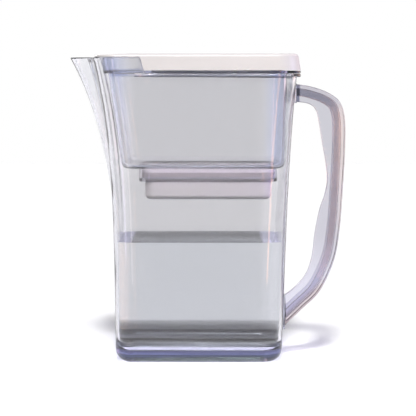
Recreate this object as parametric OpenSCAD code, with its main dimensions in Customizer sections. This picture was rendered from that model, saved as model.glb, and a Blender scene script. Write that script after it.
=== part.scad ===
// Water filter pitcher with a flip door in its lid.
// The origin is the centre of the foot, on the surface the pitcher stands on.
// -X points to the spout, +X to the handle and +Z up.

/* [Jug] */
// Length of the jug at its foot, spout side to handle side
base_l = 142.4; // [130:0.2:160]
// Width of the jug at its foot
base_w = 102; // [92:1:112]
// Height of the top of the jug's rim flange
rim_z = 246.2; // [220:0.2:270]
// How far the spout's lip and the raised front wall stand above the rim
lip_rise = 13.8; // [11:0.1:14.4]
// How far each side wall leans out from the foot to the rim
side_lean = 8; // [4:0.5:10]
// How far the front wall leans out in a straight line
front_lean = 2; // [0:0.5:5]
// How much further the front wall curves out near the lip
front_flare = 16; // [12:0.5:18]
// How far the rear wall leans out in a straight line
rear_lean = 7.5; // [5.5:0.5:9]
// How much further the rear wall curves out near the rim
rear_flare = 4.5; // [3:0.5:6]
// Outer radius of the upright corners
corner_r = 17; // [14:0.5:21]
// Thickness of the jug's walls
wall = 2.8; // [2:0.1:3.4]
// Thickness of the jug's floor
floor_t = 3.5; // [2.5:0.1:5]
// Depth of the recess under the floor
foot_recess = 7; // [2:0.1:8]
// Width of the flat ring that the jug stands on
foot_ring_w = 2.5; // [2:0.1:6]
// Radius of the round moulding mark under the floor
gate_r = 2.8; // [1.5:0.1:5]
// How far the moulding mark stands down from the floor
gate_t = 0.6; // [0.3:0.1:1.5]
// Radius of the rounded edge round the foot
foot_round = 11; // [7:0.5:12]
// How far the rim flange stands out from the wall
flange_out = 3.1; // [2:0.1:4]
// Thickness of the jug's rim flange
flange_t = 2.8; // [2:0.1:4]

/* [Spout] */
// How far the beak stands out from the front wall at the lip
beak_reach = 22.5; // [16:0.5:25]
// Half of the beak's width at the lip
beak_half_w = 28; // [22:0.5:32]
// Height of the beak, from where it leaves the front wall to the lip
beak_h = 150; // [130:1:180]
// Distance from the foot's front end back to the step where the raised wall ends
step_back = 26.4; // [24:0.1:29]
// How far that step slants forward from the rim up to the lip
step_slant = 4.2; // [2:0.1:7]

/* [Handle] */
// Width of the handle's outer strap
strap_w = 24; // [18:0.5:28]
// Thickness of the outer strap
strap_t = 3.2; // [2.4:0.1:4]
// Depth of the two lips behind the strap
lip_depth = 6.8; // [4:0.1:8]
// Thickness of those lips
lip_t = 2.6; // [1.8:0.1:3.4]
// Thickness of the handle's web
web_t = 6; // [4:0.5:8]
// How far the strap stands out beyond the rear end of the jug's foot
handle_reach = 55.6; // [48:0.2:64]
// How far the two pads that the handle seats on stand proud of the wall at their tops
pad_proud = 2.1; // [1.4:0.1:3]
// Distance from the rim down to the upper pad
pad_drop = 8.4; // [6:0.2:12]
// Height of the upper pad
pad_top_h = 16.8; // [15:0.2:20]
// Height of the lower pad's foot above the ground
pad_low_z = 24.5; // [20:0.5:30]
// Height of the lower pad
pad_low_h = 30; // [28:0.5:36]

/* [Reservoir] */
// Depth of the reservoir, from the rim down to the underside of its floor
res_depth = 80; // [70:0.5:90]
// Thickness of the reservoir's walls and floor
res_wall = 2.2; // [1.8:0.1:2.8]
// Thickness of the reservoir's flange
res_flange_t = 2.2; // [1.6:0.1:3]
// How far the reservoir's front wall leans in from flange to floor
res_front_lean = 11.5; // [8:0.5:14]
// How far its other walls lean in from flange to floor
res_side_lean = 2.4; // [1:0.1:4]
// Room between the jug's front wall and the reservoir's, for pouring
pour_gap = 6.9; // [4:0.1:9]
// Room between the jug's side walls and the reservoir's
res_side_gap = 3; // [2:0.1:5]
// Room between the jug's rear wall and the reservoir's
res_rear_gap = 5.4; // [5:0.1:7]
// Room between the jug's raised front wall and the reservoir's upstand
upstand_gap = 2.4; // [1.5:0.1:5]
// Depth of the seat that hangs below the reservoir's floor
seat_depth = 12.2; // [9:0.1:15]

/* [Cartridge] */
// Room on the reservoir's floor in front of the cartridge's seat
seat_front_gap = 13.3; // [6:0.1:24]
// Room on the reservoir's floor behind the seat
seat_rear_gap = 4.7; // [3:0.1:14]
// Width of the cartridge's lower part
cart_w = 54; // [44:1:64]
// Length of the cartridge below its shoulder
cart_drop = 19.5; // [14:0.5:24]
// Height of the cartridge above its shoulder
cart_rise = 3.9; // [3:0.1:5]
// How far the shoulder stands out
shoulder = 3; // [2.5:0.1:3.5]
// Thickness of the cartridge's shell
cart_wall = 1.6; // [1.2:0.1:2]
// Radius of the cartridge's upright corners
cart_r = 9; // [6:0.5:12]
// Thickness of the cartridge's seal
seal_t = 1.4; // [1:0.1:2]
// Thickness of each felt pad
felt_t = 1.5; // [1:0.1:2]
// Share of the media's depth that the mineral beads fill, in percent
mineral_share = 30; // [20:1:40]
// Share of the media's depth that the resin fills, in percent
resin_share = 33; // [20:1:40]
// Width of each slot in the cartridge
slot_w = 1.8; // [1.2:0.1:2.4]
// Distance from one slot to the next
slot_pitch = 5; // [4:0.5:8]
// Height of the pull bar on the cartridge's cover
pull_h = 4; // [3.6:0.1:6]

/* [Lid] */
// How far the lid's top face lies above the jug's rim
lid_rise = 16.8; // [15.6:0.1:19]
// Thickness of the lid
lid_wall = 2.2; // [1.6:0.1:2.6]
// How far the lid's sides lean in from skirt to top
lid_lean = 2.4; // [1:0.1:3]
// Radius of the lid's top edge
lid_round = 2.6; // [1.5:0.1:3]
// Thickness of the front tongue at its tip
tongue_t = 1.4; // [1:0.1:2]
// Distance from the step's top forward to where the tongue starts to slope down
tongue_bend = 7; // [3:0.5:12]
// Depth of the rim that drops inside the reservoir
lid_rim_drop = 4; // [2:0.5:6]

/* [Door] */
// Distance from the slanted step's foot back to the door's hinge
hinge_back = 24.8; // [18:0.2:32]
// Length of the lid that is left behind the door
door_back = 28.3; // [24:0.1:40]
// Width of the lid that is left on each side of the door
door_side = 24.1; // [20:0.1:32]
// Thickness of the flip door
door_t = 2.2; // [1.6:0.1:2.4]
// Radius of the hinge's barrel
barrel_r = 2.6; // [2.4:0.1:3]
// Radius of the hinge's trunnions
trunnion_r = 1.5; // [1.2:0.1:1.7]
// Length of each trunnion
trunnion_l = 3.2; // [2.4:0.1:4]
// Corner radius of the flip door
door_r = 10; // [6:0.5:14]
// Width of the ledge that the door rests on
ledge_w = 3; // [2:0.1:4]
// Radius of the finger scoop behind the door
scoop_r = 12; // [9:0.5:14]

/* [Clearances] */
// Between parts that lift apart
lift_gap = 0.3; // [0.2:0.05:0.5]
// Between the door's edge and the lid
door_gap = 0.5; // [0.4:0.05:0.8]
// Between the hinge's barrel and the lid in front of it
barrel_gap = 0.8; // [0.8:0.05:1.2]
// Radial, between a trunnion and its bore
trunnion_gap = 0.06; // [0.03:0.01:0.1]
// Between the cartridge and the seat round it
seat_gap = 0.5; // [0.4:0.05:0.8]
// Between the media and the shell round it
media_gap = 0.2; // [0.1:0.05:0.4]

/* [Hidden] */
$fn = 64;

corner_steps = 8;
beak_steps = 16;
arc_steps = 5;
foot_steps = 3;  // rings from the rounded foot to where the beak starts
flare_steps = 12;  // rings from there to the lip
past = 10;  // how far a cutting shape runs past what it cuts
bite = 0.3;  // how far joined shapes of one piece reach into each other
tip_round = 0.22;  // roundness of the beak's tip, as a share of its half width
beak_soft = 0.1;  // length of the beak's soft start, as a share of its height
beak_curl = 0.33;  // share of the beak's reach that comes from the curl near the lip

base_half_l = base_l / 2;
base_half_w = base_w / 2;
floor_z = foot_recess + floor_t;
ring_inset = foot_round + foot_ring_w;
lip_z = rim_z + lip_rise;
lid_z = rim_z + lid_rise;
beak_from_z = lip_z - beak_h;
step_foot_x = step_back - base_half_l;
step_top_x = step_foot_x - step_slant;

// ---- jug outline ----

// Outer face of the front wall at height z, as a distance from the origin
function front(z) =
    let (t = z / lip_z) base_half_l + front_lean * t + front_flare * pow(t, 4);
// Outer face of the rear wall at height z
function rear(z) =
    let (t = z / rim_z) base_half_l + rear_lean * t + rear_flare * pow(t, 4);
// Outer face of a side wall at height z
function side(z) = base_half_w + side_lean * z / rim_z;
// How far the beak stands out from the front wall at height z: it starts softly, rises in
// a straight line and curls out near the lip
function beak(z) =
    let (
        u = max(0, z - beak_from_z) / beak_h,
        straight = u * u * (1 + beak_soft) / (u + beak_soft)
    )
    beak_reach * ((1 - beak_curl) * straight + beak_curl * pow(u, 4));
// Half width of the beak at height z
function beak_half(z) = beak_half_w * (0.6 + 0.4 * z / lip_z);

// Share of the beak's reach at the share u of its half width, and its inverse
tip_a = sqrt(1 + tip_round * tip_round);
tip_b = tip_a - tip_round;
function beak_share(u) = (tip_a - sqrt(u * u + tip_round * tip_round)) / tip_b;
function beak_edge(s) =
    let (q = tip_a - s * tip_b) sqrt(max(0, q * q - tip_round * tip_round));

// Arc of a corner, centre (x, y), from the given angle through 90 degrees
function corner(x, y, r, from) = [
    for (i = [0:corner_steps])
        let (a = from + 90 * i / corner_steps) [x + r * cos(a), y + r * sin(a)]
];
// Rounded rectangle from x0 to x1 with half width h, corner radius r
function rounded(x0, x1, h, r) = concat(
    corner(x1 - r, h - r, r, 0),
    corner(x0 + r, h - r, r, 90),
    corner(x0 + r, r - h, r, 180),
    corner(x1 - r, r - h, r, 270)
);
// The beak's outline at height z, set in by d from the outer face
function beak_line(z, d) =
    let (
        b = beak(z),
        h = beak_half(z),
        slant = sqrt(1 + pow(b / (h * tip_b), 2)),
        lost = d * (slant - 1),
        edge = beak_edge(min(1, lost / max(b, 0.001)))
    )
    [
        for (i = [1:beak_steps - 1])
            let (u = edge * (1 - 2 * i / beak_steps))
            [-front(z) + d - max(0, b * beak_share(u) - lost), u * h]
    ];
// Jug outline at height z, set in by d
function jug_outline(z, d) =
    let (x0 = -front(z) + d, x1 = rear(z) - d, h = side(z) - d, r = corner_r - d)
    concat(
        corner(x1 - r, h - r, r, 0),
        corner(x0 + r, h - r, r, 90),
        beak_line(z, d),
        corner(x0 + r, r - h, r, 180),
        corner(x1 - r, r - h, r, 270)
    );

function at(outline, z) = [for (p = outline) [p[0], p[1], z]];

// Solid through a stack of outlines that all have as many points
module skin(rings) {
    n = len(rings[0]);
    last = len(rings) - 1;
    polyhedron(
        points = [for (ring = rings) for (p = ring) p],
        faces = concat(
            [[for (i = [0:n - 1]) i]],
            [for (k = [0:last - 1]) for (i = [0:n - 1])
                let (j = (i + 1) % n)
                [k * n + i, (k + 1) * n + i, (k + 1) * n + j, k * n + j]],
            [[for (i = [n - 1:-1:0]) last * n + i]]
        )
    );
}

// Heights of the jug's rings above its rounded foot, close together where it curves
function wall_heights(from, to) = concat(
    [for (i = [0:foot_steps - 1]) from + (beak_from_z - from) * i / foot_steps],
    [for (i = [0:flare_steps]) beak_from_z + (to - beak_from_z) * i / flare_steps]
);

// Full jug shape, set in by d, with a foot rounded by r that starts at height z0
module jug_shape(z0, d, r, top) {
    skin(concat(
        [for (i = [0:arc_steps])
            let (a = 90 * i / arc_steps, z = z0 + r * (1 - cos(a)))
            at(jug_outline(z, d + r * (1 - sin(a))), z)],
        [for (z = wall_heights(z0 + r + wall, top)) at(jug_outline(z, d), z)]
    ));
}

// Exact rounded rectangle, for plates and rings
module plate_2d(x0, x1, h, r) {
    translate([x0 + r, -h]) square([x1 - x0 - 2 * r, 2 * h]);
    translate([x0, r - h]) square([x1 - x0, 2 * (h - r)]);
    for (x = [x0 + r, x1 - r], y = [r - h, h - r])
        translate([x, y]) circle(r);
}
module plate(x0, x1, h, r, z0, z1) {
    translate([0, 0, z0]) linear_extrude(z1 - z0) plate_2d(x0, x1, h, r);
}

// Outline in side view, extruded across the pitcher from y0 to y1
module across(y0, y1) {
    translate([0, y1, 0]) rotate([90, 0, 0]) linear_extrude(y1 - y0) children();
}

// ---- rim flanges, shared by the jug and the reservoir ----

flange_lag = 2;  // how far behind the step's foot the flange is at its full width
flange_x1 = rear(rim_z) + flange_out;
flange_h = side(rim_z) + flange_out;
flange_r = corner_r + flange_out;
flange_x0 = step_foot_x - flange_r + flange_lag;
res_top_z = rim_z + lift_gap + res_flange_t;

// The slanted step's place at height z
function step_x(z) = step_foot_x - step_slant * (z - rim_z) / lip_rise;
// Everything behind the slanted step and above height z
module behind_step(z, shift) {
    top = lip_z + past;
    rear_end = flange_x1 + past;
    across(-flange_h - past, flange_h + past)
        polygon([
            [step_x(z) + shift, z], [rear_end, z],
            [rear_end, top], [step_x(top) + shift, top],
        ]);
}

// ---- jug ----

pad_top = [rim_z - pad_drop - pad_top_h, rim_z - pad_drop];  // heights of the upper pad
pad_low = [pad_low_z, pad_low_z + pad_low_h];  // heights of the lower pad
pad_top_x = rear(pad_top[1]) + pad_proud;
pad_low_x = rear(pad_low[1]) + pad_proud;
pad_margin = 2;
pad_root = 6;  // how deep a pad reaches into the wall
pad_half_w = strap_w / 2 + pad_margin;

module handle_pad(x, heights) {
    translate([x - pad_root, -pad_half_w, heights[0]])
        cube([pad_root, 2 * pad_half_w, heights[1] - heights[0]]);
}

module pitcher_body() color([0.80, 0.81, 0.84, 0.45]) {
    inner_round = foot_round - wall / 2;
    difference() {
        union() {
            jug_shape(0, 0, foot_round, lip_z);
            plate(flange_x0, flange_x1, flange_h, flange_r, rim_z - flange_t, rim_z);
            handle_pad(pad_top_x, pad_top);
            handle_pad(pad_low_x, pad_low);
        }
        jug_shape(floor_z, wall, inner_round, lip_z + past);
        behind_step(rim_z, 0);
        plate(
            ring_inset - base_half_l, base_half_l - ring_inset,
            base_half_w - ring_inset, corner_r - foot_round, -past, foot_recess
        );
    }
    translate([0, 0, foot_recess - gate_t]) cylinder(h = gate_t + bite, r = gate_r);
}

// ---- handle ----

// Outer edge of the handle from its upper end to its lower end. Each point is a share of
// the handle's reach beyond the foot and a share of its height between the pads' far ends.
handle_outer = [
    [-0.022, 1.006], [0.230, 0.997], [0.464, 0.987], [0.723, 0.963], [0.906, 0.926],
    [0.989, 0.860], [0.996, 0.738], [0.968, 0.584], [0.924, 0.420], [0.838, 0.284],
    [0.619, 0.157], [0.331, 0.080], [0.061, 0.012], [-0.165, -0.054],
];
// Inner edge from its lower end to its upper end
handle_inner = [
    [-0.201, 0.101], [0.050, 0.131], [0.248, 0.171], [0.410, 0.225], [0.493, 0.293],
    [0.536, 0.387], [0.608, 0.483], [0.691, 0.549], [0.725, 0.610], [0.698, 0.685],
    [0.644, 0.760], [0.595, 0.840], [0.541, 0.893], [0.428, 0.917], [0.230, 0.924],
    [-0.022, 0.926],
];
function handle_points(shares) = [
    for (s = shares)
        [base_half_l + handle_reach * s[0], pad_low_z + (pad_top[1] - pad_low_z) * s[1]]
];

// Smooth curve through the points, in the given number of steps per stretch
function spline(p, steps) = concat(
    [for (i = [1:len(p) - 3]) for (k = [0:steps - 1])
        let (t = k / steps)
        0.5 * (2 * p[i] + (p[i + 1] - p[i - 1]) * t
            + (2 * p[i - 1] - 5 * p[i] + 4 * p[i + 1] - p[i + 2]) * t * t
            + (3 * p[i] - p[i - 1] - 3 * p[i + 1] + p[i + 2]) * t * t * t)],
    [p[len(p) - 2]]
);
// The same line moved by d to its right-hand side
function shifted(p, d) = [
    for (i = [0:len(p) - 1])
        let (
            v = p[min(i + 1, len(p) - 1)] - p[max(i - 1, 0)],
            q = v / norm(v)
        )
        p[i] + d * [q[1], -q[0]]
];
function reversed(p) = [for (i = [len(p) - 1:-1:0]) p[i]];

spline_steps = 5;
outer_line = spline(handle_points(handle_outer), spline_steps);
inner_line = spline(handle_points(handle_inner), spline_steps);

// Room for the handle behind the two pads
module behind_pads_2d() {
    middle = (pad_top[0] + pad_low[1]) / 2;
    rear_end = base_half_l + handle_reach + past;
    polygon([
        [pad_top_x, rim_z], [pad_top_x, middle], [pad_low_x, middle],
        [pad_low_x, 0], [rear_end, 0], [rear_end, rim_z],
    ]);
}
// Band along the outer edge, between two depths
module band_2d(d0, d1) {
    intersection() {
        polygon(concat(shifted(outer_line, d0), reversed(shifted(outer_line, d1))));
        behind_pads_2d();
    }
}

module handle() color([0.74, 0.73, 0.78, 0.6]) {
    across(-web_t / 2, web_t / 2)
        intersection() {
            polygon(concat(outer_line, inner_line));
            behind_pads_2d();
        }
    across(-strap_w / 2, strap_w / 2) band_2d(0, strap_t);
    for (s = [-1, 1])
        across(
            s * (strap_w - lip_t) / 2 - lip_t / 2,
            s * (strap_w - lip_t) / 2 + lip_t / 2
        )
            band_2d(strap_t / 2, strap_t + lip_depth);
}

// ---- reservoir ----

res_r = corner_r - wall - res_side_gap / 2;
res_x0 = -(front(rim_z) - wall - pour_gap);
res_x1 = rear(rim_z) - wall - res_rear_gap;
res_h = side(rim_z) - wall - res_side_gap;
upstand_x0 = -(front(rim_z) - wall - upstand_gap);
upstand_drop = 1;  // how far the upstand stays below the lip
upstand_top = lip_z - upstand_drop;
res_floor_z = rim_z - res_depth;

// Outline of the reservoir at height z, set in by d
function res_outline(z, d) =
    let (t = (rim_z - z) / (rim_z - res_floor_z))
    rounded(
        res_x0 + res_front_lean * t + d,
        res_x1 - res_side_lean * t - d,
        res_h - res_side_lean * t - d,
        res_r - d
    );
module res_shape(z0, d, r, top) {
    skin(concat(
        [for (i = [0:arc_steps])
            let (a = 90 * i / arc_steps, z = z0 + r * (1 - cos(a)))
            at(res_outline(z, d + r * (1 - sin(a))), z)],
        [at(res_outline(top, d), top)]
    ));
}

seat_wall = 2;
seat_ledge_t = 2.4;
seat_x0 = res_x0 + res_front_lean + seat_front_gap + seat_wall;
seat_x1 = res_x1 - res_side_lean - seat_rear_gap - seat_wall;
seat_h = cart_w / 2 + shoulder + seat_gap;
seat_r = cart_r + shoulder + seat_gap;
seat_z0 = res_floor_z - seat_depth;
ledge_top = seat_z0 + seat_ledge_t;
res_round = 4.5;

module reservoir() color([0.82, 0.82, 0.86, 0.5]) {
    upstand_h = side(rim_z) - wall - upstand_gap;
    upstand_r = corner_r - wall;
    difference() {
        union() {
            res_shape(res_floor_z, 0, res_round, rim_z + lift_gap);
            // flange on the jug's rim, and the plate inside the raised front wall
            intersection() {
                plate(
                    flange_x0, flange_x1, flange_h, flange_r,
                    rim_z + lift_gap, res_top_z
                );
                behind_step(rim_z, lift_gap);
            }
            difference() {
                plate(
                    upstand_x0, 0, upstand_h, upstand_r,
                    rim_z + lift_gap, upstand_top
                );
                behind_step(res_top_z, -lid_wall);
            }
            plate(
                seat_x0 - seat_wall, seat_x1 + seat_wall, seat_h + seat_wall,
                seat_r + seat_wall, seat_z0, res_floor_z + res_wall
            );
        }
        // the well, the front pocket, the seat and the opening in its floor
        res_shape(res_floor_z + res_wall, res_wall, res_round - res_wall / 2, res_top_z + past);
        plate(
            upstand_x0 + res_wall, past, upstand_h - res_wall, upstand_r - res_wall,
            res_top_z, lip_z + past
        );
        plate(seat_x0, seat_x1, seat_h, seat_r, ledge_top, res_floor_z + past);
        plate(
            seat_x0 + shoulder, seat_x1 - shoulder, seat_h - shoulder,
            seat_r - shoulder, seat_z0 - past, ledge_top + bite
        );
    }
}

// ---- cartridge ----

seal_z = ledge_top + lift_gap;
shoulder_z = seal_z + seal_t;
cart_x0 = seat_x0 + seat_gap + shoulder;
cart_x1 = seat_x1 - seat_gap - shoulder;
cart_l = cart_x1 - cart_x0;
cart_x = (cart_x0 + cart_x1) / 2;
cart_h = cart_w / 2;
cart_z0 = shoulder_z - cart_drop;
cart_z1 = shoulder_z + cart_rise;
cart_round = 4;

// Cartridge outline, set out by d
module cart_plate(d, z0, z1) {
    plate(cart_x0 - d, cart_x1 + d, cart_h + d, cart_r + d, z0, z1);
}
// Two rows of slots side by side, centred on the cartridge
slot_margin = 9;  // bare edge round the slots
slot_bridge = 4;  // plain strip between the two rows
module slots(z0, z1) {
    count = floor((cart_l / 2 - slot_margin) / slot_pitch);
    slot_l = cart_h - slot_margin - slot_bridge / 2;
    for (i = [-count:count], y = [slot_bridge / 2, -slot_bridge / 2 - slot_l])
        translate([cart_x + i * slot_pitch - slot_w / 2, y, z0])
            cube([slot_w, slot_l, z1 - z0]);
}

module cartridge_housing() color([0.86, 0.81, 0.81]) {
    lower = [for (i = [0:arc_steps])
        let (
            a = 90 * i / arc_steps,
            d = cart_round * (1 - sin(a)),
            z = cart_z0 + cart_round * (1 - cos(a))
        )
        at(rounded(cart_x0 + d, cart_x1 - d, cart_h - d, cart_r - d), z)];
    difference() {
        union() {
            skin(concat(
                lower, [at(rounded(cart_x0, cart_x1, cart_h, cart_r), shoulder_z + bite)]
            ));
            cart_plate(shoulder, shoulder_z, cart_z1);
        }
        cart_plate(-cart_wall - cart_round / 3, cart_z0 + cart_wall, cart_z0 + cart_round);
        cart_plate(-cart_wall, cart_z0 + cart_round / 2, cart_z1 + past);
        cart_plate(shoulder - cart_wall, shoulder_z + cart_wall, cart_z1 + past);
        slots(cart_z0 - past, cart_z0 + cart_wall + bite);
    }
}

cover_t = 2;
cover_lip = cart_rise - cart_wall - lift_gap;  // the lip stays clear of the shoulder's floor

module cartridge_cover() color([0.93, 0.92, 0.92]) {
    half = shoulder - cart_wall - media_gap;
    difference() {
        union() {
            cart_plate(shoulder, cart_z1, cart_z1 + cover_t);
            difference() {
                cart_plate(half, cart_z1 - cover_lip, cart_z1 + bite);
                cart_plate(half - cart_wall, cart_z1 - past, cart_z1);
            }
        }
        slots(cart_z1 - past, cart_z1 + cover_t + past);
    }
    pull_bar();
}
// Arched bar that the fingers pull the cartridge out by
module pull_bar() {
    pull_half = 16;
    pull_t = 1.6;
    pull_w = 3.6;
    across(-pull_w / 2, pull_w / 2)
        translate([cart_x, cart_z1 + cover_t / 2])
            difference() {
                translate([-pull_half, 0]) square([2 * pull_half, pull_h + cover_t / 2]);
                translate([pull_t - pull_half, -past])
                    square([2 * (pull_half - pull_t), pull_h + cover_t / 2 - pull_t + past]);
            }
}

module cartridge_seal() color([0.35, 0.36, 0.38]) {
    difference() {
        cart_plate(shoulder, seal_z, shoulder_z);
        cart_plate(media_gap, seal_z - past, shoulder_z + past);
    }
}

// Media, from the housing's floor up to the cover
media_z0 = cart_z0 + cart_wall;
media_z1 = cart_z1 - lift_gap;
media_depth = media_z1 - media_z0 - 4 * felt_t;
mineral_z0 = media_z0 + felt_t;
mineral_z1 = mineral_z0 + media_depth * mineral_share / 100;
resin_z0 = mineral_z1 + felt_t;
resin_z1 = resin_z0 + media_depth * resin_share / 100;
carbon_z0 = resin_z1 + felt_t;
carbon_z1 = media_z1 - felt_t;
media_in = -cart_wall - media_gap;

module outlet_felt() color([0.93, 0.93, 0.90])
    cart_plate(media_in - cart_round / 3, media_z0, mineral_z0);
module mineral_bed() color([0.72, 0.63, 0.55])
    cart_plate(media_in - cart_round / 3, mineral_z0, mineral_z1);
module lower_felt() color([0.93, 0.93, 0.90])
    cart_plate(media_in, mineral_z1, resin_z0);
module resin_bed() color([0.86, 0.70, 0.45])
    cart_plate(media_in, resin_z0, resin_z1);
module upper_felt() color([0.93, 0.93, 0.90])
    cart_plate(media_in, resin_z1, carbon_z0);
module carbon_bed() color([0.12, 0.12, 0.13])
    cart_plate(media_in, carbon_z0, carbon_z1);
module inlet_felt() color([0.93, 0.93, 0.90])
    cart_plate(media_in, carbon_z1, media_z1);

// ---- lid ----

skirt_z = res_top_z + lift_gap;
lid_under = lid_z - lid_wall;
tongue_z = lip_z + lift_gap;
tongue_inset = 1.5;  // how far the tongue stays behind the raised wall's outer face
tongue_x = tongue_inset - front(lip_z);
tongue_bend_x = step_top_x - tongue_bend;

// Lid outline at height z, set in by d
function lid_outline(z, d) =
    let (t = (z - skirt_z) / (lid_z - skirt_z), lean = lid_lean * t + d)
    rounded(
        tongue_x + d,
        flange_x1 - lean,
        flange_h - lean,
        flange_r - lean
    );
module lid_shape(z0, d, r, top) {
    skin(concat(
        [at(lid_outline(z0, d), z0)],
        [for (i = [0:arc_steps])
            let (a = 90 * i / arc_steps, z = top - r * (1 - sin(a)))
            at(lid_outline(z, d + r * (1 - cos(a))), z)]
    ));
}
// Side view of the lid's outside: tongue in front, skirt behind the step
module lid_profile() {
    top = lid_z + past;
    tip_x = tongue_x - past;
    rear_end = flange_x1 + past;
    across(-flange_h - past, flange_h + past)
        polygon([
            [tip_x, tongue_z], [step_x(tongue_z) + lift_gap, tongue_z],
            [step_x(skirt_z) + lift_gap, skirt_z], [rear_end, skirt_z],
            [rear_end, top], [tongue_bend_x, top], [tongue_bend_x, lid_z],
            [tongue_x, tongue_z + tongue_t], [tip_x, tongue_z + tongue_t],
        ]);
}

// Door opening and hinge
hinge_x = step_foot_x + hinge_back;
hinge_z = lid_z - barrel_r;
door_x1 = flange_x1 - door_back;
door_h = flange_h - door_side;
ear_wall = 1.5;
ear_t = trunnion_l + ear_wall;
ear_r = barrel_r + ear_wall;
rim_gap = 1;  // between the lid's rim and the reservoir's walls
rim_step_gap = 3;  // between the lid's front wall and the rim behind it
rim_x0 = step_foot_x + lid_wall + rim_step_gap;
rim_x1 = res_x1 - res_wall - rim_gap;
rim_h = res_h - res_wall - rim_gap;
rim_r = res_r - res_wall;
rim_t = 1.8;
frame_w = 2;  // width of the frame round the door's opening
ledge_t = 1.8;
ledge_z = lid_z - door_t - lift_gap;

module lid_cover() color([0.94, 0.92, 0.91]) {
    difference() {
        union() {
            difference() {
                intersection() {
                    lid_shape(skirt_z, 0, lid_round, lid_z);
                    lid_profile();
                }
                intersection() {
                    lid_shape(skirt_z - past, lid_wall, lid_round / 2, lid_under);
                    behind_step(skirt_z - past, lid_wall + lift_gap);
                }
            }
            lid_rim();
            // frame under the door, with the ledge and the scoop's floor
            plate(
                hinge_x - barrel_r - barrel_gap - frame_w, door_x1 + door_gap + frame_w,
                door_h + door_gap + frame_w, door_r, ledge_z - ledge_t, lid_under + bite
            );
            translate([door_x1 + door_gap, 0, ledge_z - ledge_t])
                cylinder(r = scoop_r + frame_w, h = lid_under + bite - ledge_z + ledge_t);
            for (s = [-1, 1]) ear(s);
        }
        door_opening();
        for (s = [-1, 1])
            translate([hinge_x, s * (door_h + door_gap / 2), hinge_z])
                rotate([-90 * s, 0, 0])
                    cylinder(r = trunnion_r + trunnion_gap, h = trunnion_l + door_gap);
    }
}
// Rim that drops inside the reservoir and centres the lid on it
module lid_rim() {
    difference() {
        plate(rim_x0, rim_x1, rim_h, rim_r, res_top_z - lid_rim_drop, lid_under + bite);
        plate(
            rim_x0 + rim_t, rim_x1 - rim_t, rim_h - rim_t, rim_r - rim_t,
            res_top_z - lid_rim_drop - past, lid_under + past
        );
    }
}
// Ear under the lid's top that holds one trunnion
module ear(s) {
    y0 = s > 0 ? door_h + door_gap : -door_h - door_gap - ear_t;
    rise = lid_under + bite - hinge_z;
    intersection() {
        translate([hinge_x, y0, hinge_z])
            rotate([-90, 0, 0])
                cylinder(r = ear_r, h = ear_t);
        translate([hinge_x - ear_r, y0, hinge_z - ear_r])
            cube([2 * ear_r, ear_t, ear_r + rise]);
    }
    translate([hinge_x - ear_r, y0, hinge_z])
        cube([2 * ear_r, ear_t, rise]);
}
// Outline of the door, set out by d: square at the hinge, round at the far side
module door_plate(x0, d, z0, z1) {
    plate(x0, door_x1 + d, door_h + d, door_r + d, z0, z1);
    translate([x0, -door_h - d, z0])
        cube([door_x1 - door_r - x0, 2 * (door_h + d), z1 - z0]);
}
// Opening for the door, the passage below it and the finger scoop
module door_opening() {
    front_x = hinge_x - barrel_r - barrel_gap;
    door_plate(front_x, door_gap, ledge_z, lid_z + past);
    door_plate(front_x, -ledge_w, ledge_z - ledge_t - past, lid_z + past);
    translate([front_x, -door_h - door_gap, hinge_z - barrel_r - past])
        cube([2 * (barrel_r + barrel_gap), 2 * (door_h + door_gap), 2 * past]);
    translate([door_x1 + door_gap, 0, ledge_z])
        cylinder(r = scoop_r, h = past);
}

// ---- flip door ----

tab_half_w = 8;
tab_reach = 5;
tab_root = 4;
tab_r = 3;

module flip_door() color([0.95, 0.94, 0.93]) {
    door_plate(hinge_x, 0, lid_z - door_t, lid_z);
    // barrel between the ears, and its trunnions
    translate([hinge_x, -door_h, hinge_z])
        rotate([-90, 0, 0]) cylinder(r = barrel_r, h = 2 * door_h);
    translate([hinge_x, -door_h - trunnion_l, hinge_z])
        rotate([-90, 0, 0]) cylinder(r = trunnion_r, h = 2 * (door_h + trunnion_l));
    // finger tab over the scoop
    plate(door_x1 - tab_root, door_x1 + tab_reach, tab_half_w, tab_r, lid_z - door_t, lid_z);
}

pitcher_body();
handle();
reservoir();
lid_cover();
flip_door();
cartridge_housing();
cartridge_cover();
cartridge_seal();
inlet_felt();
carbon_bed();
upper_felt();
resin_bed();
lower_felt();
mineral_bed();
outlet_felt();
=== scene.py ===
import math

import bmesh
import bpy
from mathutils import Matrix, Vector


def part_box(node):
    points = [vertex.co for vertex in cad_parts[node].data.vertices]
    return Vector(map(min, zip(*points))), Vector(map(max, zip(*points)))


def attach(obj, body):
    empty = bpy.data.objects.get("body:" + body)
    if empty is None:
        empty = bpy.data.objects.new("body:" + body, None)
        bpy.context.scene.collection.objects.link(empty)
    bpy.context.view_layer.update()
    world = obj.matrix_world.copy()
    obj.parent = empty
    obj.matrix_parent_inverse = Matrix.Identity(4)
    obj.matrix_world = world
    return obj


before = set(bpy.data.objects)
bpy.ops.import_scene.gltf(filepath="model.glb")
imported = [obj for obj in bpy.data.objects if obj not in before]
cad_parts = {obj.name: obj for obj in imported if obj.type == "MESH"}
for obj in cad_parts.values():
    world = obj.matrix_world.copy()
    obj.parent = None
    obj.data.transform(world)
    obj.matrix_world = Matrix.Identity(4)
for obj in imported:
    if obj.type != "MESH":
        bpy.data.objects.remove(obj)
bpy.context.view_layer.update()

MM = 0.001
bpy.context.scene.view_settings.view_transform = "Standard"


# ---- camera, floor and light -------------------------------------------------------------

CAMERA_AT = Vector((0.008, -1.473, 0.250))
CAMERA_PITCH = math.radians(-4.693)
SENSOR_W = 36.0
LENS = 1692 / 416 * SENSOR_W  # the pitcher's scale in the frame
FLOOR_HALF = 3.0  # half of the table's width, and how far it reaches behind the pitcher
TABLE_FRONT = -0.40  # the table's front edge, below the photograph's view


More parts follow.
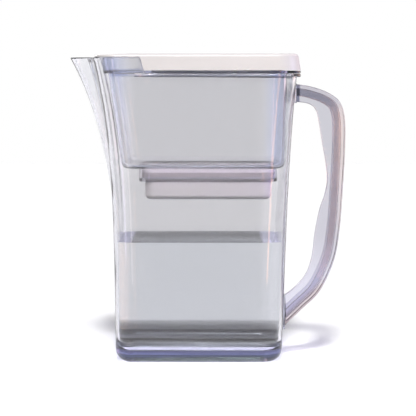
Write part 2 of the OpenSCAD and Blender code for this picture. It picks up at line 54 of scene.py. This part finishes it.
def make_camera():
    """The photograph's view: level with the lid, looking a little down."""
    data = bpy.data.cameras.new("camera")
    data.sensor_width = SENSOR_W
    data.lens = LENS
    data.clip_start, data.clip_end = 0.05, 20
    cam = bpy.data.objects.new("camera", data)
    cam.location = CAMERA_AT
    cam.rotation_euler = (math.pi / 2 + CAMERA_PITCH, 0, 0)
    bpy.context.scene.collection.objects.link(cam)
    bpy.context.scene.camera = cam


class Tree:
    """A node tree with short ways to add and join nodes."""

    def __init__(self, owner):
        owner.use_nodes = True
        self.tree = owner.node_tree
        self.tree.nodes.clear()

    def add(self, kind, **inputs):
        node = self.tree.nodes.new(kind)
        for name, value in inputs.items():
            self.set(node, name, value)
        return node

    def set(self, node, name, value):
        key = name.replace("_", " ")
        socket = node.inputs[key] if key in node.inputs else None
        if socket is None:
            setattr(node, name, value)
        elif isinstance(value, bpy.types.NodeSocket):
            self.tree.links.new(value, socket)
        else:
            socket.default_value = value

    def link(self, a, b):
        self.tree.links.new(a, b)

    def math(self, op, a, b=None, clamp=False):
        node = self.tree.nodes.new("ShaderNodeMath")
        node.operation = op
        node.use_clamp = clamp
        for i, value in enumerate((a, b)):
            if isinstance(value, bpy.types.NodeSocket):
                self.tree.links.new(value, node.inputs[i])
            elif value is not None:
                node.inputs[i].default_value = value
        return node.outputs[0]

    def ramp(self, fac, stops):
        node = self.tree.nodes.new("ShaderNodeValToRGB")
        self.tree.links.new(fac, node.inputs[0])
        ramp = node.color_ramp
        while len(ramp.elements) < len(stops):
            ramp.elements.new(0.5)
        for element, (at, colour) in zip(ramp.elements, stops):
            element.position = at
            element.color = colour if len(colour) == 4 else (*colour, 1)
        return node.outputs[0]


def grey(v):
    return (v, v, v)


def blend(t, way, a, b):
    """Two colours multiplied or added."""
    mix = t.add("ShaderNodeMix", data_type="RGBA", blend_type=way)
    mix.inputs["Factor"].default_value = 1.0
    t.link(a, mix.inputs[6])
    t.link(b, mix.inputs[7])
    return mix.outputs[2]


# Brightness of the room as the clear and glossy parts see it, by the sine of the elevation
SEEN_ROOM = [
    (0.0, (1.0, 1.0, 1.0)), (0.16, (1.0, 1.0, 1.0)),
    (0.42, (0.34, 0.34, 0.42)), (1.0, (0.28, 0.28, 0.36)),
]
# Upright strip lights that the clear corners mirror, in degrees right of the front:
# the two ends of each strip, and its colour
STRIPS = [
    ((7, 20), (3.4, 1.7, 0.8)),
    ((-16, -5), (1.6, 1.4, 1.3)),
    ((-54, -42), (2.2, 2.0, 2.8)),
    ((105, 150), (1.1, 0.6, 0.5)),
]
STRIP_TOP = [(0.75, (1, 1, 1)), (0.9, (0, 0, 0))]
# Light that the object gets from the room, above and below the table's level
LIT_ABOVE, LIT_BELOW = 0.14, 0.32
FLOOR_WHITE = 0.97  # the floor as it is seen
FLOOR_BOUNCE = 0.48  # the floor as it lights the object
FLOOR_GLOW = 0.01  # lifts the lit floor to white in the view, and leaves its shadow


def bent_or_seen(t):
    """1 for camera rays, and for mirrored or refracted ones that lead to the camera."""
    path = t.add("ShaderNodeLightPath")
    bent = t.math("MAXIMUM", path.outputs["Is Glossy Ray"], path.outputs["Is Transmission Ray"])
    straight = t.math("LESS_THAN", path.outputs["Diffuse Depth"], 0.5)
    return path.outputs["Is Camera Ray"], t.math("MULTIPLY", bent, straight)


def make_world():
    """A white room with a darker ceiling; the background itself is white."""
    world = bpy.data.worlds.new("studio")
    bpy.context.scene.world = world
    t = Tree(world)
    coords = t.add("ShaderNodeTexCoord")
    split = t.add("ShaderNodeSeparateXYZ", Vector=coords.outputs["Generated"])
    turn = t.math("ARCTAN2", split.outputs["X"], t.math("MULTIPLY", split.outputs["Y"], -1))
    height = t.ramp(split.outputs["Z"], STRIP_TOP)
    seen = t.ramp(split.outputs["Z"], SEEN_ROOM)
    for (left, right), colour in STRIPS:
        left, right = math.radians(left), math.radians(right)
        share = t.math("DIVIDE", t.math("SUBTRACT", turn, left), right - left, True)
        strip = t.ramp(share, [(0, (0, 0, 0)), (0.2, colour), (0.8, colour), (1, (0, 0, 0))])
        seen = blend(t, "ADD", seen, blend(t, "MULTIPLY", strip, height))
    camera, bent = bent_or_seen(t)
    half = t.math("ADD", t.math("MULTIPLY", split.outputs["Z"], 0.5), 0.5)
    lit = t.ramp(half, [(0.49, grey(LIT_BELOW)), (0.51, grey(LIT_ABOVE))])
    backgrounds = [
        t.add("ShaderNodeBackground", Color=colour, Strength=1.0).outputs[0]
        for colour in (lit, seen, (1, 1, 1, 1))
    ]
    shader = backgrounds[0]
    for fac, other in ((bent, backgrounds[1]), (camera, backgrounds[2])):
        mix = t.add("ShaderNodeMixShader")
        for i, socket in enumerate((fac, shader, other)):
            t.link(socket, mix.inputs[i])
        shader = mix.outputs[0]
    out = t.add("ShaderNodeOutputWorld")
    t.link(shader, out.inputs[0])


def make_floor():
    """A plain white table that keeps the pitcher's soft shadow."""
    mesh = bpy.data.meshes.new("floor")
    h = FLOOR_HALF
    corners = [(-h, TABLE_FRONT, 0), (h, TABLE_FRONT, 0), (h, h, 0), (-h, h, 0)]
    mesh.from_pydata(corners, [], [(0, 1, 2, 3)])
    floor = bpy.data.objects.new("floor", mesh)
    bpy.context.scene.collection.objects.link(floor)
    mat = bpy.data.materials.new("floor_white")
    t = Tree(mat)
    seen = t.math("MAXIMUM", *bent_or_seen(t))
    white = t.ramp(seen, [(0, grey(FLOOR_BOUNCE)), (1, grey(FLOOR_WHITE))])
    matt = t.add("ShaderNodeBsdfDiffuse", Color=white)
    glow = t.add(
        "ShaderNodeEmission",
        Color=(1, 1, 1, 1), Strength=t.math("MULTIPLY", seen, FLOOR_GLOW),
    )
    both = t.add("ShaderNodeAddShader")
    t.link(matt.outputs[0], both.inputs[0])
    t.link(glow.outputs[0], both.inputs[1])
    output(t, both.outputs[0])
    mesh.materials.append(mat)


KEY_ELEVATION = math.radians(54)
KEY_SPREAD = math.radians(8)  # how wide the lamp looks, which softens the shadow
KEY_STRENGTH = 3.3
FILL_ELEVATION = math.radians(12)
# Each low fill: how far round from the key, its strength and its colour
FILLS = {
    "fill_handle_side": (85, 0.9, (0.73, 0.62, 1.0)),
    "fill_back": (215, 0.6, (1, 1, 1)),
}


def far_lamp(name, elevation, turn, strength, colour=(1, 1, 1)):
    """A soft far lamp in front of the pitcher, turned round it by turn."""
    data = bpy.data.lights.new(name, "SUN")
    data.energy, data.angle, data.color = strength, KEY_SPREAD, colour
    data.cycles.use_multiple_importance_sampling = False
    lamp = bpy.data.objects.new(name, data)
    lamp.rotation_euler = (math.pi / 2 - elevation, 0, turn)
    bpy.context.scene.collection.objects.link(lamp)


def make_lights():
    """A key lamp high in front, so the shadow falls straight back, and two low fills."""
    far_lamp("key", KEY_ELEVATION, 0, KEY_STRENGTH)
    for name, (turn, strength, colour) in FILLS.items():
        far_lamp(name, FILL_ELEVATION, math.radians(turn), strength, colour)


# ---- materials ---------------------------------------------------------------------------

SHOULDER_Z = 154  # mm, where the cartridge's wider collar starts
LAMP_PASS = 0.98  # share of the lamp's light that each clear surface lets through
PLASTIC_IOR = 1.5
FLOW_WAVE = 0.002 * MM  # height of the waves that the plastic's flow leaves


def output(t, shader, volume=None):
    """Ends a material's tree with its surface and, for a clear one, what fills it."""
    out = t.add("ShaderNodeOutputMaterial")
    t.link(shader, out.inputs["Surface"])
    if volume:
        t.link(volume, out.inputs["Volume"])


def noise(t, scale, detail):
    """Soft noise fixed to the object."""
    coords = t.add("ShaderNodeTexCoord")
    return t.add(
        "ShaderNodeTexNoise",
        Vector=coords.outputs["Object"], Scale=scale, Detail=detail, Roughness=0.5,
    ).outputs["Fac"]


def bump(t, height, distance, strength=1.0):
    """A normal that follows the height, which stands for up to the distance."""
    return t.add(
        "ShaderNodeBump", Height=height, Distance=distance, Strength=strength
    ).outputs["Normal"]


def lit_through(t, shader, tint):
    """Lets the lamp's light pass straight through a clear surface, so what is inside is lit."""
    path = t.add("ShaderNodeLightPath")
    passed = (*(LAMP_PASS * math.sqrt(c) for c in tint), 1)
    clear = t.add("ShaderNodeBsdfTransparent", Color=passed)
    mix = t.add("ShaderNodeMixShader")
    for i, socket in enumerate((path.outputs["Is Shadow Ray"], shader, clear.outputs[0])):
        t.link(socket, mix.inputs[i])
    return mix.outputs[0]


def place_on(t, axis):
    """How far a point lies along one of the object's axes."""
    coords = t.add("ShaderNodeTexCoord")
    return t.add("ShaderNodeSeparateXYZ", Vector=coords.outputs["Object"]).outputs[axis]


def along(t, axis, stops):
    """Colour stops at distances in mm, along an axis or by a distance worked out already."""
    place = place_on(t, axis) if isinstance(axis, str) else axis
    first, last = stops[0][0], stops[-1][0]
    share = t.math("DIVIDE", t.math("SUBTRACT", place, first * MM), (last - first) * MM, True)
    return t.ramp(share, [((at - first) / (last - first), colour) for at, colour in stops])


def only_where(t, mask, colour, other=(1, 1, 1)):
    """The colour where the mask is 1, and the other, white if not given, where it is 0."""
    mix = t.add("ShaderNodeMix", data_type="RGBA")
    t.link(mask, mix.inputs["Factor"])
    mix.inputs[6].default_value = (*other, 1)
    t.link(colour, mix.inputs[7])
    return mix.outputs[2]


def clear_plastic(name, tint, depth_tint, depth, tone, rough=0.015):
    """Clear moulded plastic, with faint flow waves and a slightly uneven polish.

    Its own colour gathers with the way through it, depth per metre, so edges look deeper.
    tone is the function that shades its tint from place to place.
    """
    mat = bpy.data.materials.new(name)
    t = Tree(mat)
    wave = noise(t, 22, 1.5)
    polish = t.ramp(noise(t, 90, 3), [(0.3, grey(rough)), (0.8, grey(rough * 2.2))])
    bsdf = t.add(
        "ShaderNodeBsdfPrincipled",
        Base_Color=tone(t, tint), Roughness=polish, IOR=PLASTIC_IOR,
        Normal=bump(t, wave, FLOW_WAVE),
    )
    bsdf.inputs["Transmission Weight"].default_value = 1.0
    inside = t.add("ShaderNodeVolumeAbsorption", Color=(*depth_tint, 1), Density=depth)
    output(t, lit_through(t, bsdf.outputs[0], tint), inside.outputs[0])
    return mat


def tinted(tint, *stops):
    """The tint multiplied into each stop's shade."""
    return [(at, tuple(a * b for a, b in zip(tint, shade))) for at, shade in stops]


# The shades below multiply a clear part's tint from place to place; all but the moulding mark are
# painted light and painted shade
PAINTED_FOOT_RIM_SHADE, PAINTED_FOOT_LINE_SHADE = (0.90, 0.87, 0.93), (0.27, 0.33, 0.30)  # painted shade on the foot's lowest part and on its line, at the front only
PAINTED_REAR_WALL_SHADE = grey(0.64)  # painted shade on the rear wall's lowest part, where it runs into the floor
GATE = (0.45, 0.52, 0.70)  # the moulding mark under the floor, and where it is in X and Y
GATE_SPAN = [(-3.4, grey(0)), (-2.6, grey(1)), (2.6, grey(1)), (3.4, grey(0))]


def jug_tone(t, tint):
    """Painted light that makes the floor, corners and beak clearer, painted shade on the foot's
    front and on the rear wall's end, and the moulding mark.
    """
    # painted light: the floor's lowest part and the top are made clearer, so they look brighter
    floor = along(t, "Z", tinted(
        tint, (6, grey(1.24)), (14, grey(1.24)), (30, grey(1)), (150, grey(1)), (172, grey(1.05)),
    ))
    # painted highlight: the beak and both corners are made clearer, so they look brighter
    ends = along(t, "X", [
        (-95, grey(1.3)), (-84, grey(1.12)), (-68, grey(1.14)), (-56, grey(1)), (52, grey(1)),
        (66, grey(1.1)),
    ])
    front = along(t, "Y", [(-30, grey(1)), (0, grey(0))])
    # painted shade: a dark line and a dimmer rim on the foot, at the front only
    foot = along(t, "Z", [
        (0, PAINTED_FOOT_RIM_SHADE), (3.4, PAINTED_FOOT_RIM_SHADE), (3.8, PAINTED_FOOT_LINE_SHADE), (7.8, PAINTED_FOOT_LINE_SHADE), (8.3, grey(1)),
    ])
    rear = along(t, "Y", [(25, grey(0)), (40, grey(1))])
    # painted shade on the rear wall's lowest part
    painted_low_wall_shade = along(t, "Z", [
        (8, grey(1)), (10, PAINTED_REAR_WALL_SHADE), (26.5, PAINTED_REAR_WALL_SHADE), (28.5, grey(1)),
    ])
    across = [along(t, axis, GATE_SPAN) for axis in ("X", "Y")]
    under = along(t, "Z", [(7.4, GATE), (8.4, grey(1))])
    gate = only_where(t, blend(t, "MULTIPLY", *across), under)
    tone = blend(t, "MULTIPLY", blend(t, "MULTIPLY", floor, ends), only_where(t, front, foot))
    return blend(t, "MULTIPLY", blend(t, "MULTIPLY", tone, gate), only_where(t, rear, painted_low_wall_shade))


PAINTED_SEAT_SHADE, PAINTED_FLANGE_SHADE = (0.92, 0.88, 0.91), (0.74, 0.77, 0.88)  # painted shade under its floor, and on the jug's rim
PAINTED_ENDS_SHADE, EDGE = (0.82, 0.86, 0.98), (0.56, 0.60, 0.74)  # painted bluish shade on both ends, and painted dark shade on the upstand's front edge


def reservoir_tone(t, tint):
    """Painted shade: bluer ends, a deeper flange and seat, and a dark front edge on the upstand.
    """
    # painted shade: deeper under the floor and along the flange
    height = along(t, "Z", tinted(
        tint, (152, PAINTED_SEAT_SHADE), (165.4, PAINTED_SEAT_SHADE), (166.6, grey(1)), (243.4, grey(1)), (244.2, PAINTED_FLANGE_SHADE),
        (249.2, PAINTED_FLANGE_SHADE), (250, grey(1)),
    ))
    # painted bluish shade at both ends
    ends = along(t, "X", [(-76, PAINTED_ENDS_SHADE), (-60, grey(1)), (56, grey(1)), (70, PAINTED_ENDS_SHADE)])
    # painted dark shade on the upstand's front edge
    edge = along(t, "X", [(-84.8, grey(1)), (-84.2, EDGE), (-78.6, EDGE), (-77.8, grey(1))])
    above = along(t, "Z", [(247, grey(0)), (249, grey(1))])
    return blend(t, "MULTIPLY", blend(t, "MULTIPLY", height, ends), only_where(t, above, edge))


PAINTED_JOINT_SHADE, PAINTED_RIM_HIGHLIGHT = (0.30, 0.31, 0.42), (1.30, 1.19, 1.08)  # painted dark shade where it meets the jug, and a painted warm highlight on its outer rim
PAINTED_LOW_END_LIGHT, PAINTED_LOW_RIM_HIGHLIGHT = (1.22, 1.22, 1.25), (1.12, 0.98, 0.92)  # painted light on its lower end, and a painted warm highlight on that end's rim


def handle_tone(t, tint):
    """A painted warm highlight on the outer rim, a painted dark shade ring where the top meets
    the jug, and painted light that makes the lower end clearer.
    """
    # painted warm highlight along the outer rim
    rim = along(t, "X", tinted(tint, (120, grey(1)), (123.5, PAINTED_RIM_HIGHLIGHT), (130, PAINTED_RIM_HIGHLIGHT)))
    # painted dark shade ring where the top meets the jug
    ring = along(t, "X", [(83.4, grey(1)), (84.0, PAINTED_JOINT_SHADE), (87.0, PAINTED_JOINT_SHADE), (87.8, grey(1))])
    above = along(t, "Z", [(180, grey(0)), (190, grey(1))])
    outward = t.math("SUBTRACT", place_on(t, "X"), place_on(t, "Z"))  # across the slanted end
    # painted light on the lower end, with a painted highlight on its rim
    painted_lower_end_light = along(t, outward, [(41, PAINTED_LOW_END_LIGHT), (45, PAINTED_LOW_RIM_HIGHLIGHT)])
    below = along(t, "Z", [(65, grey(1)), (105, grey(0))])
    tone = blend(t, "MULTIPLY", rim, only_where(t, above, ring))
    return blend(t, "MULTIPLY", tone, only_where(t, below, painted_lower_end_light))


SPECK = 0.03  # how much darker the plastic's dimmest patches are


def satin_plastic(name, colour, rough=0.35, grain=900, collar=1.0):
    """Opaque moulded plastic with a fine grain and a faint unevenness of colour.

    collar darkens what is above the cartridge's shoulder.
    """
    mat = bpy.data.materials.new(name)
    t = Tree(mat)
    low = tuple(c * (1 - SPECK) for c in colour)
    tone = t.ramp(noise(t, 35, 3), [(0.3, low), (0.7, colour)])
    if collar < 1:
        stops = [(SHOULDER_Z - 1, grey(1)), (SHOULDER_Z + 1, grey(collar))]
        tone = blend(t, "MULTIPLY", tone, along(t, "Z", stops))
    shine = t.ramp(noise(t, 60, 2), [(0.3, grey(rough)), (0.7, grey(rough * 1.25))])
    bsdf = t.add(
        "ShaderNodeBsdfPrincipled",
        Base_Color=tone, Roughness=shine, IOR=PLASTIC_IOR,
        Normal=bump(t, noise(t, grain, 2), 0.02 * MM, 0.6),
    )
    output(t, bsdf.outputs[0])
    return mat


def rubber(name, colour):
    """Soft moulded rubber: matt, with a fine skin and dusty patches."""
    mat = bpy.data.materials.new(name)
    t = Tree(mat)
    dusty = tuple(c * 1.25 for c in colour)
    tone = t.ramp(noise(t, 55, 4), [(0.35, colour), (0.75, dusty)])
    skin = t.ramp(noise(t, 240, 2), [(0.3, grey(0.55)), (0.7, grey(0.75))])
    bsdf = t.add(
        "ShaderNodeBsdfPrincipled",
        Base_Color=tone, Roughness=skin, IOR=1.52,
        Normal=bump(t, noise(t, 1400, 3), 0.02 * MM, 0.7),
    )
    output(t, bsdf.outputs[0])
    return mat


def felt(name, colour):
    """Pressed fibre: short crossed strands over a soft mottle."""
    mat = bpy.data.materials.new(name)
    t = Tree(mat)
    strands = []
    for turn in (0.3, 1.9):
        coords = t.add("ShaderNodeTexCoord")
        place = t.add("ShaderNodeMapping", Vector=coords.outputs["Object"])
        place.inputs["Rotation"].default_value = (0.2, 0.1, turn)
        place.inputs["Scale"].default_value = (420, 3200, 2600)
        strands.append(t.add(
            "ShaderNodeTexNoise", Vector=place.outputs[0], Scale=1.0, Detail=3.0, Roughness=0.6,
        ).outputs["Fac"])
    fibre = t.math("MAXIMUM", *strands)
    shade = tuple(c * 0.72 for c in colour)
    tone = t.ramp(fibre, [(0.42, shade), (0.66, colour)])
    mottle = t.ramp(noise(t, 120, 2), [(0.3, grey(0.93)), (0.7, grey(1))])
    bsdf = t.add(
        "ShaderNodeBsdfPrincipled",
        Base_Color=blend(t, "MULTIPLY", tone, mottle), Roughness=0.95,
        Normal=bump(t, fibre, 0.25 * MM, 0.8),
    )
    bsdf.inputs["Sheen Weight"].default_value = 0.25
    output(t, bsdf.outputs[0])
    return mat


def granules(name, size, colours, rough):
    """A bed of packed grains, each with a shade of its own between two colours, and painted shade
    in the gaps between them.
    """
    mat = bpy.data.materials.new(name)
    t = Tree(mat)
    coords = t.add("ShaderNodeTexCoord")
    cells = t.add("ShaderNodeTexVoronoi", Vector=coords.outputs["Object"], Scale=1 / size)
    pick = t.add("ShaderNodeSeparateColor", Color=cells.outputs["Color"]).outputs[0]
    tone = t.ramp(pick, [(0.1, colours[0]), (0.9, colours[1])])
    dome = t.ramp(cells.outputs["Distance"], [(0.0, grey(1)), (0.35, grey(0.8)), (0.7, grey(0))])
    # painted shade in the gaps between the grains
    painted_gap_shade = t.ramp(cells.outputs["Distance"], [(0.45, grey(1)), (0.75, grey(0.35))])
    bsdf = t.add(
        "ShaderNodeBsdfPrincipled",
        Base_Color=blend(t, "MULTIPLY", tone, painted_gap_shade), Roughness=rough,
        Normal=bump(t, dome, size * 0.5, 0.9),
    )
    output(t, bsdf.outputs[0])
    return mat


SHARP = math.radians(35)  # edges with a larger angle stay sharp or are rounded
WELD_DISTANCE = 0.002 * MM


def node_group(name):
    """An empty geometry node group, with its add and link functions and its two ends."""
    tree = bpy.data.node_groups.new(name, "GeometryNodeTree")
    for way in ("INPUT", "OUTPUT"):
        tree.interface.new_socket("Geometry", in_out=way, socket_type="NodeSocketGeometry")
    add, link = tree.nodes.new, tree.links.new
    return tree, add, link, add("NodeGroupInput"), add("NodeGroupOutput")


def weld_modifier():
    """Joins a CAD mesh's faces at their edges and drops its stored normals."""
    tree, add, link, start, end = node_group("cad_weld")
    drop = add("GeometryNodeRemoveAttribute")
    drop.inputs["Name"].default_value = "custom_normal"
    weld = add("GeometryNodeMergeByDistance")
    weld.inputs["Distance"].default_value = WELD_DISTANCE
    link(start.outputs[0], drop.inputs["Geometry"])
    link(drop.outputs["Geometry"], weld.inputs["Geometry"])
    link(weld.outputs["Geometry"], end.inputs[0])
    return tree


def smooth_modifier():
    """Rounds the shading over edges below the sharp angle."""
    tree, add, link, start, end = node_group("cad_smooth")
    faces = add("GeometryNodeSetShadeSmooth")
    angle = add("GeometryNodeInputMeshEdgeAngle")
    sharp = add("FunctionNodeCompare")
    sharp.data_type, sharp.operation = "FLOAT", "GREATER_THAN"
    sharp.inputs[1].default_value = SHARP
    edges = add("GeometryNodeSetShadeSmooth")
    edges.domain = "EDGE"
    edges.inputs["Shade Smooth"].default_value = False
    link(start.outputs[0], faces.inputs["Geometry"])
    link(faces.outputs["Geometry"], edges.inputs["Geometry"])
    link(angle.outputs["Unsigned Angle"], sharp.inputs[0])
    link(sharp.outputs[0], edges.inputs["Selection"])
    link(edges.outputs["Geometry"], end.inputs[0])
    return tree


def smooth(obj, edge_round=0.0):
    """Welds a mesh, rounds its sharp edges by edge_round and shades it smoothly."""
    obj.modifiers.new("weld", "NODES").node_group = WELD
    if edge_round:
        bevel = obj.modifiers.new("round", "BEVEL")
        bevel.width, bevel.segments = edge_round, 3
        bevel.limit_method, bevel.angle_limit = "ANGLE", SHARP
        bevel.use_clamp_overlap = False
    obj.modifiers.new("smooth", "NODES").node_group = SMOOTH
    if edge_round:
        obj.modifiers.new("even", "WEIGHTED_NORMAL").keep_sharp = True


# ---- the water that the photograph shows, which moves with the jug -------------------------

WATER_TOP = 104 * MM
WATER_GAP = 0.15 * MM  # room between the water and the plastic
BLOCK_SIZE = 1.2  # the block that the water is cut from reaches so much further than the jug
BLOCK_DROP = 10 * MM  # and so far below it
SAME = 1e-6  # metres; vertices closer than this are one
NEAR_TOP = 1e-5  # metres; vertices closer than this to the water's top belong to it


def islands(bm):
    """The mesh's connected pieces, each as a set of vertices."""
    left = set(bm.verts)
    while left:
        found, front = set(), [left.pop()]
        while front:
            vert = front.pop()
            found.add(vert)
            for edge in vert.link_edges:
                other = edge.other_vert(vert)
                if other in left:
                    left.remove(other)
                    front.append(other)
        yield found


def make_water():
    """Fills the jug with still water: a block less the jug, of which the inside is kept."""
    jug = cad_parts["pitcher_body"]
    low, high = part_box("pitcher_body")
    bm = bmesh.new()
    bmesh.ops.create_cube(bm, size=1)
    for vert in bm.verts:
        x, y, z = (v > 0 for v in vert.co)
        vert.co = (
            high[0] * BLOCK_SIZE if x else low[0] * BLOCK_SIZE,
            high[1] * BLOCK_SIZE if y else low[1] * BLOCK_SIZE,
            WATER_TOP if z else low[2] - BLOCK_DROP,
        )
    mesh = bpy.data.meshes.new("water")
    bm.to_mesh(mesh)
    bm.free()
    water = bpy.data.objects.new("water", mesh)
    bpy.context.scene.collection.objects.link(water)
    cut = water.modifiers.new("cut", "BOOLEAN")
    cut.operation, cut.solver, cut.object = "DIFFERENCE", "EXACT", jug
    bpy.context.view_layer.update()
    evaluated = water.evaluated_get(bpy.context.evaluated_depsgraph_get())
    water.modifiers.clear()
    water.data = bpy.data.meshes.new_from_object(evaluated)

    bm = bmesh.new()
    bm.from_mesh(water.data)
    bmesh.ops.remove_doubles(bm, verts=bm.verts, dist=SAME)
    inside = min(islands(bm), key=lambda part: max(abs(v.co.x) for v in part))
    bmesh.ops.delete(bm, geom=[v for v in bm.verts if v not in inside], context="VERTS")
    bm.normal_update()
    for vert in bm.verts:
        if vert.co.z < WATER_TOP - NEAR_TOP:
            vert.co -= vert.normal * WATER_GAP
        else:
            vert.co.x *= 1 - WATER_GAP / abs(high[0])
            vert.co.y *= 1 - WATER_GAP / abs(high[1])
    bm.to_mesh(water.data)
    bm.free()
    water.data.materials.clear()
    water.data.materials.append(clear_water())
    smooth(water)
    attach(water, "jug")


WATER_TINT = (0.97, 0.985, 1.0)
WATER_IOR = 1.333
# Painted reflection, a shade put into the mirror's colour: how much of the room the water's
# level faces mirror: its bed, the rounded edge at the bed's rear, its top, and the top's two ends
PAINTED_BED_REFLECTION, PAINTED_BED_EDGE_REFLECTION, PAINTED_TOP_REFLECTION, PAINTED_TOP_ENDS_REFLECTION = grey(0.65), grey(0.10), grey(0.40), (0.95, 0.95, 1.15)
PAINTED_BED_EDGE_PASS = (0.35, 0.36, 0.39)  # painted shade: how much that rounded edge lets through
BED_END = (45, 48)  # where the rounded edge starts, in mm behind the middle
MID_WATER = (40, 60)  # mm, heights between the water's bed and its top
LEVEL = 0.15  # the least upward part of a level face's normal


def water_painted_reflections(t):
    """White, but with painted reflection and painted shade where the water's level faces mirror,
    and let through, the low room.
    """
    normal = t.add("ShaderNodeNewGeometry").outputs["Normal"]
    upward = t.add("ShaderNodeSeparateXYZ", Vector=normal).outputs["Z"]
    level = t.math("GREATER_THAN", upward, LEVEL)
    above = along(t, "Z", list(zip(MID_WATER, (grey(0), grey(1)))))
    below = along(t, "Z", list(zip(MID_WATER, (grey(1), grey(0)))))
    # painted reflection on the top, brighter at its two ends
    top = along(t, "X", [(-59, PAINTED_TOP_ENDS_REFLECTION), (-56, PAINTED_TOP_REFLECTION), (53, PAINTED_TOP_REFLECTION), (56, PAINTED_TOP_ENDS_REFLECTION)])
    # painted reflection on the bed, darker at its rear edge
    bed = along(t, "Y", list(zip(BED_END, (PAINTED_BED_REFLECTION, PAINTED_BED_EDGE_REFLECTION))))
    mirrored = blend(t, "MULTIPLY", only_where(t, above, top), only_where(t, below, bed))
    # painted shade on what the bed's rear edge lets through
    edge = along(t, "Y", list(zip(BED_END, (WATER_TINT, PAINTED_BED_EDGE_PASS))))
    passed = only_where(t, level, only_where(t, below, edge, WATER_TINT), WATER_TINT)
    return only_where(t, level, mirrored), passed


def clear_water():
    """Clear water, whose bed and top take a painted, darker reflection than its sides."""
    mat = bpy.data.materials.new("water")
    t = Tree(mat)
    ripple = bump(t, noise(t, 9, 1), 0.01 * MM)
    mirrored, passed = water_painted_reflections(t)
    inside = t.add(
        "ShaderNodeBsdfRefraction", Color=passed, Roughness=0.0, IOR=WATER_IOR, Normal=ripple,
    )
    mirror = t.add("ShaderNodeBsdfGlossy", Color=mirrored, Roughness=0.02, Normal=ripple)
    fresnel = t.add("ShaderNodeFresnel", IOR=WATER_IOR, Normal=ripple)
    mix = t.add("ShaderNodeMixShader")
    for i, socket in enumerate((fresnel.outputs[0], inside.outputs[0], mirror.outputs[0])):
        t.link(socket, mix.inputs[i])
    output(t, lit_through(t, mix.outputs[0], WATER_TINT))
    return mat


def dress(node, mat, edge_round=0.0):
    """Gives a CAD node its material and its smooth shading."""
    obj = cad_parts[node]
    obj.data.materials.clear()
    obj.data.materials.append(mat)
    smooth(obj, edge_round)


# ---- build -------------------------------------------------------------------------------

make_camera()
make_world()
make_floor()
make_lights()
WELD, SMOOTH = weld_modifier(), smooth_modifier()
make_water()

# The clear parts: tint at the surface, and the colour that gathers inside
JUG_TINT, SMOKE = (0.787, 0.785, 0.784), (0.44, 0.46, 0.68)
HANDLE_TINT, ROSE = (0.62, 0.62, 0.68), (0.75, 0.64, 0.68)
RESERVOIR_TINT, HAZE = (1, 1, 1), (0.45, 0.43, 0.62)
jug_clear = clear_plastic("jug_clear", JUG_TINT, SMOKE, depth=31, tone=jug_tone, rough=0.045)
handle_clear = clear_plastic("handle_clear", HANDLE_TINT, ROSE, depth=12, tone=handle_tone)
reservoir_clear = clear_plastic(
    "reservoir_clear", RESERVOIR_TINT, HAZE, depth=32, tone=reservoir_tone, rough=0.03,
)
dress("pitcher_body", jug_clear, edge_round=0.7 * MM)
dress("handle", handle_clear, edge_round=1.0 * MM)
dress("reservoir", reservoir_clear, edge_round=0.5 * MM)

LID_WHITE = (0.755, 0.72, 0.71)
dress("lid_cover", satin_plastic("lid_white", LID_WHITE))
dress("flip_door", satin_plastic("door_white", LID_WHITE, grain=850))
dress("cartridge_housing", satin_plastic("cartridge_shell", (0.78, 0.735, 0.715), collar=0.50))
dress("cartridge_cover", satin_plastic("cover_shell", (0.76, 0.73, 0.72), rough=0.42))
dress("cartridge_seal", rubber("seal_rubber", (0.30, 0.31, 0.33)))
FELT = felt("filter_felt", (0.80, 0.80, 0.77))
for name in ("inlet_felt", "upper_felt", "lower_felt", "outlet_felt"):
    dress(name, FELT)
for name, grain_mm, colours, rough in (
    ("carbon_bed", 0.9, ((0.02, 0.02, 0.022), (0.09, 0.09, 0.095)), 0.55),
    ("resin_bed", 0.7, ((0.55, 0.36, 0.15), (0.84, 0.66, 0.38)), 0.3),
    ("mineral_bed", 2.6, ((0.38, 0.30, 0.24), (0.74, 0.66, 0.58)), 0.7),
):
    dress(name, granules(name, grain_mm * MM, colours, rough))
